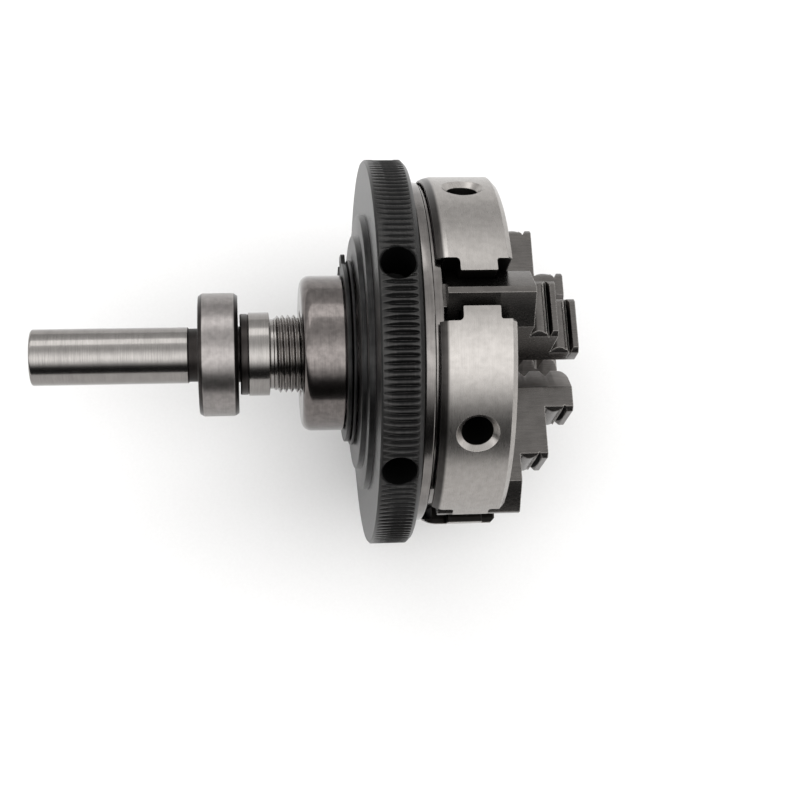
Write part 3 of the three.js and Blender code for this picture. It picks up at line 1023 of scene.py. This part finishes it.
@dataclass
class KnurledWheel:
    """The blackened wheel that turns the scroll, with its knurled rim and tommy bar holes."""

    step_radius: float = 21.0
    boss_radius: float = 24.7
    boss_back: float = 0.95
    rim_back: float = 2.05
    rear_chamfer: float = 0.35
    chamfer: float = 0.75
    bore: float = 14.2
    seat_bore: float = 20.3
    seat_depth: float = 3.3
    knurl_count: int = 178
    knurl_depth: float = 0.52
    knurl_length: float = 6.2
    knurl_rows: int = 17
    hole_count: int = 6
    hole_radius: float = 2.9
    hole_depth: float = 9.5
    hole_sink: float = 0.45
    first_hole: float = -5.8
    drill_point: float = 1.2

    @classmethod
    def finish(cls, span: Span) -> OxideFinish:
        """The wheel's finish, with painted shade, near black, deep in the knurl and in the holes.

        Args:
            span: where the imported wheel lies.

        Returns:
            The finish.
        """
        rear = span.rear + cls.rim_back + cls.rear_chamfer
        # painted shade: near black below the knurl's lands and down the tommy bar holes
        deep = Patch(
            rear + 0.1, span.front - cls.chamfer - 0.1, (0.002, 0.002, 0.002), 0.6,
            inner=span.reach - cls.hole_depth - 2, outer=span.reach - 0.16, soft=0.1,
        )
        return OxideFinish(
            "blackened wheel steel", rubbed_radius=span.reach - 0.1, patches=(deep,),
        )

    def knurled(self, profile: Array, angles: Array, middle: float, radius: float) -> Array:
        """Cuts the knurl into the rim.

        A groove is a right-angled V whose sinking is the knurl depth times one less a power of u,
        where u is the distance from the middle over half the length. The power is 2 towards the
        shank, where the groove tapers to a point, and 6 towards the jaws, where its end is blunt.
        The radius drops by the sinking less the distance along the rim from the groove's middle.

        Args:
            profile: (n, 2) profile of the wheel.
            angles: angles about X.
            middle: station of the rim's middle.
            radius: radius of the rim.

        Returns:
            The profile at each angle as (n, m, 2).
        """
        x, r = profile[:, None, 0], profile[:, None, 1]
        u = np.abs(2 * (x - middle) / self.knurl_length)
        sink = self.knurl_depth * (1 - u ** np.where(x > middle, 6, 2))
        off = np.abs(np.mod(angles * self.knurl_count / FULL_TURN, 1) - 0.5)
        aside = off * FULL_TURN * radius / self.knurl_count
        groove = np.clip(sink - aside, 0, None) * (np.abs(r - radius) < 0.001)
        return np.stack(np.broadcast_arrays(x, r - groove), axis=-1)

    def build(self, finishes: Finishes) -> None:
        """Makes the wheel."""
        span = Span.of("scroll_wheel")
        rim_rear = span.rear + self.rim_back
        boss = span.rear + self.boss_back
        seat = span.front - self.seat_depth
        low, high = rim_rear + self.rear_chamfer, span.front - self.chamfer
        middle = (low + high) / 2
        rear_part = rounded(np.array([
            (seat, self.bore + 2, 0), (seat, self.bore, 0.1), (span.rear, self.bore, 0.2),
            (span.rear, self.step_radius, 0.3), (boss, self.step_radius, 0.15),
            (boss, self.boss_radius, 0.3), (rim_rear, self.boss_radius, 0.15),
            (rim_rear, span.reach - self.rear_chamfer, 0.12), (low, span.reach, 0.08),
            (low + 0.12, span.reach, 0),
        ]), steps=2, closed=False)
        stations = np.linspace(low + 0.15, high - 0.2, self.knurl_rows)
        rim = np.stack([stations, np.full_like(stations, span.reach)], axis=-1)
        front_part = rounded(np.array([
            (high - 0.17, span.reach, 0), (high, span.reach, 0.08),
            (span.front, span.reach - self.chamfer, 0.25), (span.front, self.seat_bore, 0.2),
            (seat, self.seat_bore, 0.2), (seat, self.bore + 4, 0),
        ]), steps=2, closed=False)
        profile = np.concatenate([rear_part, rim, front_part])
        angles = around(self.knurl_count * 8)
        grid = spun(self.knurled(profile, angles, middle, span.reach), angles)
        wheel = Skin.over(grid, looped=True).make("scroll_wheel_knurled")
        floor, mouth = span.reach - self.hole_depth, span.reach
        tool = drill(middle, [
            (floor - self.drill_point, 0.3), (floor, self.hole_radius),
            (mouth - self.hole_sink, self.hole_radius),
            (mouth + 1, self.hole_radius + self.hole_sink + 1),
        ])
        combine(wheel, repeated(tool, self.hole_count, math.radians(self.first_hole)), Join.CUT)
        fit(wheel, "scroll", "black_oxide", finishes.wheel, "scroll_wheel")


@dataclass(frozen=True)
class ScrollPlate:
    """The steel plate that carries the spiral, seated in the wheel."""

    rim_back: float = 1.5
    rim_width: float = 2.05
    spigot_radius: float = 20.0
    spigot_bore: float = 14.2
    bore: float = 13.5
    ridge_width: float = 1.2
    pitch: float = 3.2
    ridge_outer: float = 29.6
    ridge_inner: float = 14.2

    def ridge(self, front: float, foot: float) -> Skin:
        """The spiral ridge: its middle is at the outer radius less the pitch times the turns made.

        Args:
            front: station of its crest.
            foot: station that it starts from, inside the plate.

        Returns:
            The ridge.
        """
        turns = (self.ridge_outer - self.ridge_inner) / self.pitch
        a = np.linspace(0, turns * FULL_TURN, 700)[:, None]
        half = self.ridge_width / 2
        section = rounded(np.array([
            (foot, -half, 0.02), (foot, half, 0.02), (front, half, 0.18), (front, -half, 0.18),
        ]))
        r = self.ridge_outer - self.pitch * a / FULL_TURN + section[:, 1]
        return Skin.over(about_axis(section[:, 0], r, a), looped=False)

    def build(self, finishes: Finishes) -> None:
        """Makes the plate."""
        span = Span.of("scroll_plate")
        face = span.front - self.rim_back
        back = face - self.rim_width
        plate = turned_ring([
            (span.rear, self.spigot_bore, 0.15), (span.rear, self.spigot_radius, 0.3),
            (back, self.spigot_radius, 0.1), (back, span.reach, 0.45), (face, span.reach, 0.45),
            (face, self.bore, 0.15), (back, self.bore, 0.1), (back - 0.5, self.spigot_bore, 0.1),
        ]).make("scroll_plate_turned")
        combine(plate, self.ridge(span.front, face - 0.4), Join.ADD)
        fit(plate, "scroll", "brushed_steel", finishes.plate, "scroll_plate")


@dataclass
class ChuckBody:
    """The body and its hub in one piece, with four T-shaped jaw slots and tommy bar holes."""

    thickness: float = 12.7
    hub_radius: float = 13.9
    hub_round: float = 1.8
    thread_bore: float = 7.3
    through_bore: float = 6.6
    bore_sink: float = 0.6
    thread_length: float = 13.4
    groove_start: float = 7.35
    groove_width: float = 1.25
    groove_radius: float = 13.0
    neck_start: float = 15.0
    neck_radius: float = 13.2
    recess_depth: float = 1.35
    recess_radius: float = 30.3
    rear_round: float = 1.9
    front_chamfer: float = 0.9
    slot_rear_half: float = 5.5
    slot_rear_depth: float = 3.85
    slot_neck_half: float = 3.1
    slot_front_depth: float = 2.7
    slot_front_half: float = 5.3
    slot_corner: float = 0.75
    hole_radius: float = 2.65
    hole_depth: float = 11.0
    hole_sink: float = 0.9
    drill_point: float = 1.2

    @classmethod
    def patches(cls, span: Span) -> tuple[Patch, ...]:
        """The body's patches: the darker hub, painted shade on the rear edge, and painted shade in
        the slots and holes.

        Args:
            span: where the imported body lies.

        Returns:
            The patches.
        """
        # near black painted shade for the inside of the jaw slots and of the tommy bar holes
        rear, recess_shade = span.front - cls.thickness, (0.012, 0.011, 0.01)
        return (
            Patch(-1.0, rear - 0.3, (0.135, 0.121, 0.116), 0.14),
            # painted shade: the rounded rear edge is painted near black where it faces the wheel
            # and the plate
            Patch(rear - 0.3, rear + cls.rear_round - 0.3, (0.02, 0.018, 0.017), 0.3,
                  inner=cls.recess_radius - 0.2, share=0.93, soft=0.6),
            # painted shade: the walls of the jaw slots and of the tommy bar holes are painted near
            # black
            Patch(rear - 0.2, span.front - 0.05, recess_shade, 0.5, outer=span.reach - 0.12,
                  aside=cls.slot_rear_half + 0.1, soft=0.06),
            Patch(rear - 0.2, span.front - 0.3, recess_shade, 0.5, outer=span.reach - cls.hole_sink),
        )

    def blank(self, span: Span) -> Skin:
        """The turned blank, before slots and holes are cut."""
        hub, front, rear = span.rear, span.front, span.front - self.thickness
        recess, neck = rear + self.recess_depth, hub + self.neck_start
        groove = hub + self.groove_start
        groove_end, thread_end = groove + self.groove_width, hub + self.thread_length
        sink, chamfer = self.bore_sink, self.front_chamfer
        return turned_ring([
            (hub, self.thread_bore + sink, 0.1), (hub, self.hub_radius, self.hub_round),
            (groove, self.hub_radius, 0.08), (groove, self.groove_radius, 0.05),
            (groove_end, self.groove_radius, 0.05), (groove_end, self.hub_radius, 0.08),
            (neck, self.hub_radius, 0.2), (neck, self.neck_radius, 0.05),
            (recess, self.neck_radius, 0.1), (recess, self.recess_radius, 0.1),
            (rear, self.recess_radius, 0.1), (rear, self.recess_radius + 0.35, 0.3),
            (rear + 0.4 * self.rear_round, span.reach - 0.28, 0.5),
            (rear + self.rear_round, span.reach, 0.8), (front - chamfer, span.reach, 0.08),
            (front, span.reach - chamfer, 0.08), (front, self.through_bore + sink, 0.1),
            (front - sink, self.through_bore, 0.05), (thread_end, self.through_bore, 0.05),
            (thread_end, self.thread_bore, 0.05), (hub + sink, self.thread_bore, 0.05),
        ], columns=256, steps=5)

    def slot(self, span: Span, rear: float) -> Array:
        """Outline of a jaw slot as seen from outside, (x, side), with rounded corners."""
        neck_rear = rear + self.slot_rear_depth
        neck_front = span.front - self.slot_front_depth
        recess = rear + self.recess_depth
        half = [
            (recess, self.slot_rear_half, 0.05),
            (neck_rear, self.slot_rear_half, self.slot_corner),
            (neck_rear, self.slot_neck_half, 0.2), (neck_front, self.slot_neck_half, 0.2),
            (neck_front, self.slot_front_half, 0.45),
            (span.front - 0.3, self.slot_front_half, 0.2),
            (span.front + 0.8, self.slot_front_half + 1.1, 0.05),
        ]
        other = [(x, -side, corner) for x, side, corner in reversed(half)]
        return rounded(np.array(half + other), steps=5)

    def build(self, finishes: Finishes) -> None:
        """Makes the body."""
        span = Span.of("chuck_body")
        rear = span.front - self.thickness
        body = self.blank(span).make("chuck_body_machined")
        across = prism(self.slot(span, rear), -span.reach - 4, span.reach + 4)
        for turn in (0.0, math.pi / 2):
            combine(body, across.turned(turn), Join.CUT)
        half, end = self.slot_rear_half, rear + self.recess_depth + 0.4
        mouth = prism(rounded(np.array([
            (rear - 1, -half, 0.05), (end, -half, 0.05), (end, half, 0.05), (rear - 1, half, 0.05),
        ])), self.recess_radius - 1, span.reach + 3)
        combine(body, repeated(mouth, 4), Join.CUT)
        mouth_height, floor = span.reach, span.reach - self.hole_depth
        tool = drill((rear + span.front) / 2, [
            (floor - self.drill_point, 0.2), (floor, self.hole_radius),
            (mouth_height - self.hole_sink - 0.1, self.hole_radius),
            (mouth_height + 1.5, self.hole_radius + self.hole_sink + 1.6),
        ], columns=64)
        combine(body, repeated(tool, 4, math.pi / 4), Join.CUT)
        fit(body, "chuck", "brushed_steel", finishes.body, "chuck_body")


@dataclass
class Jaw:
    """One stepped jaw: flange, neck and head, grooved risers, a notched tip and rear teeth."""

    index: int
    head_half: float = 5.0
    flange_half: float = 5.2
    neck_half: float = 2.8
    flange_back: float = 24.85
    neck_back: float = 22.95
    head_back: float = 16.2
    level_backs: tuple[float, float, float] = (10.2, 5.2, 0.0)
    level_drops: tuple[float, float, float] = (0.0, 8.6, 17.1)
    ridge: float = 0.5
    corner: float = 0.8
    notch_backs: tuple[float, float, float] = (11.6, 7.75, 3.9)
    notch_depth: float = 1.3
    tooth_width: float = 1.3
    tooth_half: float = 2.0
    tooth_inner: float = 17.7
    tooth_outer: float = 27.8
    tip_facet_radius: float = 10.1
    groove_back: float = 1.55
    groove_half: float = 0.58
    groove_depth: float = 1.1
    hump_drop: float = 0.38
    foot_depth: float = 0.55
    lip: float = 0.12
    notch_ramps: tuple[float, float, float, float] = (1.15, 1.05, 0.85, 0.55)
    nose_back: float = 1.5
    nose_cut: float = 2.1
    least_flat: float = 0.03
    edge_round: float = 0.07
    scroll: ScrollPlate = ScrollPlate()

    @classmethod
    def patches(cls, span: Span) -> tuple[Patch, ...]:
        """The jaws' patches: lighter facets at the tip and painted shade in the risers' grooves.

        Args:
            span: where a packed jaw lies.

        Returns:
            The patches.
        """
        # a lighter tone over the jaw's tip, inside the tip facet radius
        facets = Patch(
            span.rear, span.front - 0.1, (0.22, 0.206, 0.197), 0.5,
            outer=cls.tip_facet_radius, share=0.8,
        )
        # painted shade: the risers' V grooves are painted black
        grooves = []
        for back, drop in zip(cls.level_backs[1:], cls.level_drops[1:]):
            middle, top = span.front - back - cls.groove_back, span.reach - drop
            grooves.append(Patch(
                middle - cls.groove_half, middle + cls.groove_half, (0.004, 0.004, 0.004), 0.7,
                inner=top - 2 * cls.groove_depth, outer=top - 0.1, aside=cls.head_half - 0.3,
                share=1.0,
            ))
        return facets, *grooves

    def riser(self, behind: Array, length: float) -> Array:
        """How far a riser's surface lies below its crest.

        Behind the front there is a narrow crest, a deep V groove, a rounded hump that follows half
        a sine wave, and a relief groove at the foot.

        Args:
            behind: distance behind the level's front.
            length: length of the level.

        Returns:
            Depth below the crest.
        """
        off = np.abs(behind - self.groove_back) / self.groove_half
        groove = self.groove_depth * np.clip(1 - off, 0, 1)
        start = self.groove_back + self.groove_half
        wave = np.sin(math.pi * np.clip((behind - start) / (length - start - 0.4), 0, 1))
        hump = np.where(behind > start, self.hump_drop * (1 - wave), 0)
        foot = self.foot_depth * np.clip(1 - (length - behind - 0.35) / 0.25, 0, 1)
        lip = self.lip * np.clip(1 - behind / self.lip, 0, 1)
        return np.maximum.reduce([groove, hump, foot, lip])

    def notch(self, behind: Array) -> Array:
        """How far the tip is cut back: notches with a ramp each side, a quarter ellipse in front.

        Args:
            behind: distance behind the jaw's front.

        Returns:
            Depth of the cut into the tip's ridge.
        """
        near, near_ramp, far, far_ramp = self.notch_ramps
        cut = np.zeros_like(behind)
        for back in self.notch_backs:
            off = behind - back
            rise = np.minimum((off + near) / near_ramp, (far - off) / far_ramp)
            cut = np.maximum(cut, self.notch_depth * np.clip(rise, 0, 1))
        ease = np.clip(1 - behind / self.nose_back, 0, 1)
        return np.maximum(cut, self.nose_cut * (1 - np.sqrt(1 - ease ** 2)))

    def sections(
        self, x: Array, half: Array, outer: Array, corner: Array, dip: Array, tip: Array,
        cut: Array,
    ) -> Array:
        """Cross-sections of the jaw.

        The section is a bar as wide as twice half. Its inner end is a right-angled point with a
        flat ridge, cut flat where the tip is notched. Its outer end has corners cut at 45
        degrees, so a large corner makes the same point; a dip lowers it all along its width.

        Args:
            x: stations.
            half: half width at each.
            outer: radius of the outer end before it dips.
            corner: size of the outer end's cut corners.
            dip: how far the outer end is lowered.
            tip: radius of the ridge at the inner end.
            cut: how far the ridge is cut back.

        Returns:
            The loops as (stations, points, 3).
        """
        flat = np.minimum(half - corner + dip, half - self.least_flat)
        shoulder = np.minimum(outer - corner, outer - dip - self.least_flat)
        inner_flat = self.ridge + cut
        right = [(half, tip + half - self.ridge), (half, shoulder), (flat, outer - dip)]
        left = [(-side, height) for side, height in reversed(right)]
        loop = [(-inner_flat, tip + cut), (inner_flat, tip + cut), *right, *left]
        round_off = np.full_like(x, self.edge_round)
        corners = [np.stack([side, height, round_off], axis=-1) for side, height in loop]
        outline = rounded(np.stack(corners, axis=1), steps=2)
        station = np.broadcast_to(x[:, None, None], (*outline.shape[:2], 1))
        return np.concatenate([station, outline], axis=-1)

    def solid(self, front: float, outer: float, tip: float) -> Skin:
        """The jaw without its teeth, along +Z.

        Args:
            front: station of its front face.
            outer: radius of its outer end.
            tip: radius of its inner end.

        Returns:
            The surface.
        """
        head = front - self.head_back
        first, second, third = (front - back for back in self.level_backs)
        spans = [
            (front - self.flange_back, front - self.neck_back, self.flange_half, 2, 0),
            (front - self.neck_back, head, self.neck_half, 2, 0),
            (head, first, self.head_half, 90, 0),
            (first, second, self.head_half, 80, 1),
            (second, third, self.head_half, 80, 2),
        ]
        loops = []
        for start, end, half, count, level in spans:
            x = np.linspace(start, end, count)
            plain = np.ones_like(x)
            dip = self.riser(end - x, end - start) if level else 0 * x
            corner = self.corner * plain if level else (half - self.ridge) * plain
            cut = self.notch(front - x) if count > 2 else 0 * x
            top = (outer - self.level_drops[level]) * plain
            loops.append(self.sections(x, half * plain, top, corner, dip, tip * plain, cut))
        return Skin.over(np.concatenate(loops), looped=False)

    def teeth(self, rear: float, foot: float, turn: float) -> Skin:
        """The rear teeth, midway between the turns of the scroll's ridge at this jaw's angle.

        Args:
            rear: station of the teeth's crests.
            foot: station inside the flange.
            turn: the jaw's turn about X from +Z.

        Returns:
            The teeth, along +Z.
        """
        pitch = self.scroll.pitch
        first = self.scroll.ridge_outer - pitch * (turn + math.pi / 2) / FULL_TURN - pitch / 2
        places = first - pitch * np.arange(5)
        places = places[(places > self.tooth_inner) & (places < self.tooth_outer)]
        wide, half = self.tooth_half, self.tooth_width / 2
        outline = rounded(np.array([
            (rear, -wide, 0.2), (foot, -wide, 0.02), (foot, wide, 0.02), (rear, wide, 0.2),
        ]))
        return Skin.together([prism(outline, place - half, place + half) for place in places])

    def build(self, finishes: Finishes) -> None:
        """Makes the jaw."""
        low, high = (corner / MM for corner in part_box("jaw_1"))
        turn = self.index * FULL_TURN / 4
        number = self.index + 1
        jaw = self.solid(high.x, high.z, low.z).turned(turn).make(f"jaw_{number}_ground")
        teeth = self.teeth(low.x, high.x - self.flange_back + 0.5, turn)
        combine(jaw, teeth.turned(turn), Join.ADD)
        fit(jaw, f"jaw_slide_{number}", "jaw_steel", finishes.jaw, f"jaw_{number}")


# ---- studio -------------------------------------------------------------------------


@dataclass
class Studio:
    """The pale floor, the soft light and the camera.

    length, centre and floor_z are in metres, as Blender has them. view_distance is in metres and
    view_share is the camera's station as a share of the length.
    """

    length: float
    centre: Vector
    floor_z: float
    floor_lengths: float = 12.0
    floor_points: int = 9
    view_turn: float = 19.2
    view_distance: float = 0.2753
    view_share: float = 0.3844
    view_yaw: float = 5.949
    view_pitch: float = 1.805
    view_roll: float = 0.927
    lens: float = 68.74
    sky: float = 3.0
    front_glow: float = 0.5
    backdrop: Colour = (0.93, 0.93, 0.93)
    lamp_way: tuple[float, float, float] = (-1.5, 4.0, 4.5)
    lamp_lengths: tuple[float, float] = (5.0, 2.5)
    lamp_energy: float = 0.5

    def floor(self) -> None:
        """Lays a pale floor under the chuck: a flat grid with a paper-like grain."""
        reach, count = self.floor_lengths * self.length, self.floor_points
        side = np.linspace(-reach, reach, count)
        x, y = np.meshgrid(side, side, indexing="ij")
        points = np.stack([x, y, np.full_like(x, self.floor_z)], axis=-1).reshape(-1, 3)
        number = np.arange(count * count).reshape(count, count)
        corners = (number[:-1, :-1], number[1:, :-1], number[1:, 1:], number[:-1, 1:])
        quads = np.stack(corners, axis=-1)
        mesh = bpy.data.meshes.new("floor")
        mesh.from_pydata(points.tolist(), [], quads.reshape(-1, 4).tolist())
        floor = bpy.data.objects.new("floor", mesh)
        bpy.context.scene.collection.objects.link(floor)
        material = bpy.data.materials.new("pale paper")
        recipe = Recipe(material)
        place = Place.on(recipe)
        fibre = recipe.noise(place.spot(2.0), 3.0)
        colour = recipe.mix(fibre, (0.74, 0.736, 0.732), (0.78, 0.777, 0.773))
        inputs = {"Base Color": colour, "Roughness": 0.75}
        shader = recipe.add("ShaderNodeBsdfPrincipled", {}, inputs)
        recipe.add("ShaderNodeOutputMaterial", {}, {"Surface": shader.mark(0)})
        mesh.materials.append(material)
        floor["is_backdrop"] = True

    def light(self) -> None:
        """Lights the room with a banded sky, a glow past the jaws and one soft lamp.

        The brightness of the sky depends on the angle about X from the camera's side, positive
        towards +Y, through a smooth ramp. Towards +X it is at least a steady glow, which the flat
        front faces reflect. The camera itself sees a plain pale room.
        """
        world = bpy.data.worlds.new("studio")
        bpy.context.scene.world = world
        recipe = Recipe(world)
        way = recipe.add("ShaderNodeTexCoord", {}, {}).mark("Generated")
        turn = math.radians(self.view_turn)
        facing = Vector((0, -math.sin(turn), math.cos(turn)))
        upward = Vector((0, math.cos(turn), math.sin(turn)))
        angle = recipe.dot(way, upward).math("ARCTAN2", recipe.dot(way, facing))
        share = angle * (1 / FULL_TURN) + 0.5
        angles = [
            (-180, 0.3), (-84, 0.2), (-72, 0.0), (-43, 0.0), (-33, 0.14), (-19, 0.75), (-4, 1.0),
            (12, 0.7), (26, 0.34), (40, 0.36), (56, 0.5), (74, 0.44), (92, 0.26), (120, 0.26),
            (180, 0.3),
        ]
        stops = [(angle / 360 + 0.5, value) for angle, value in angles]
        room = recipe.add("ShaderNodeValToRGB", {"stops": stops}, {0: share}).mark("Color")
        ahead = recipe.dot(way, Vector((1, 0, 0))).between(0.4, 0.8)
        room = room.math("MAXIMUM", ahead * self.front_glow)
        lit = {"Color": room, "Strength": self.sky}
        glow = recipe.add("ShaderNodeBackground", {}, lit).mark(0)
        pale = {"Color": (*self.backdrop, 1.0), "Strength": 1.0}
        plain = recipe.add("ShaderNodeBackground", {}, pale).mark(0)
        seen = recipe.add("ShaderNodeLightPath", {}, {}).mark("Is Camera Ray")
        both = recipe.add("ShaderNodeMixShader", {}, {0: seen, 1: glow, 2: plain}).mark(0)
        recipe.add("ShaderNodeOutputWorld", {}, {"Surface": both})
        lamp = bpy.data.lights.new("soft lamp", "AREA")
        lamp.shape = "RECTANGLE"
        lamp.size, lamp.size_y = (side * self.length for side in self.lamp_lengths)
        lamp.energy = self.lamp_energy
        holder = bpy.data.objects.new("soft lamp", lamp)
        bpy.context.scene.collection.objects.link(holder)
        spot = self.centre + Vector(self.lamp_way) * self.length
        aim = (self.centre - spot).to_track_quat("-Z", "Y").to_matrix().to_4x4()
        holder.matrix_world = Matrix.Translation(spot) @ aim
        bpy.context.scene.view_settings.view_transform = "Standard"

    def camera(self, rear: float) -> None:
        """Sets up the camera, looking down on the axis from the jaws' side of the vertical.

        Args:
            rear: station of the shank's free end.
        """
        data = bpy.data.cameras.new("camera")
        data.lens = self.lens
        data.sensor_width = 36.0
        data.clip_start, data.clip_end = 0.01, 20.0
        camera = bpy.data.objects.new("camera", data)
        bpy.context.scene.collection.objects.link(camera)
        about = Matrix.Rotation(math.radians(self.view_turn), 4, "X")
        station = rear + self.view_share * self.length
        back = Matrix.Translation(Vector((station, 0, self.view_distance)))
        turns = ((self.view_roll, "Z"), (self.view_pitch, "X"), (self.view_yaw, "Y"))
        roll, pitch, yaw = (
            Matrix.Rotation(math.radians(angle), 4, axis) for angle, axis in turns
        )
        camera.matrix_world = about @ back @ (roll @ pitch @ yaw).transposed()
        bpy.context.scene.camera = camera


def main() -> None:
    """Builds the studio and every sub-assembly."""
    logging.basicConfig(level=logging.INFO, format="%(message)s")
    packed = [list(corner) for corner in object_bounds()]
    low, high = (Vector(corner) for corner in packed)
    studio = Studio(length=high.x - low.x, centre=(low + high) / 2, floor_z=low.z - FLOOR_GAP)
    studio.floor()
    studio.light()
    studio.camera(low.x)
    finishes = Finishes.mixed()
    parts = (Arbor(), Bearing(), RingAndWasher(), KnurledWheel(), ScrollPlate(), ChuckBody())
    for assembly in (*parts, *(Jaw(index) for index in range(4))):
        assembly.build(finishes)


if __name__ == "__main__":
    main()
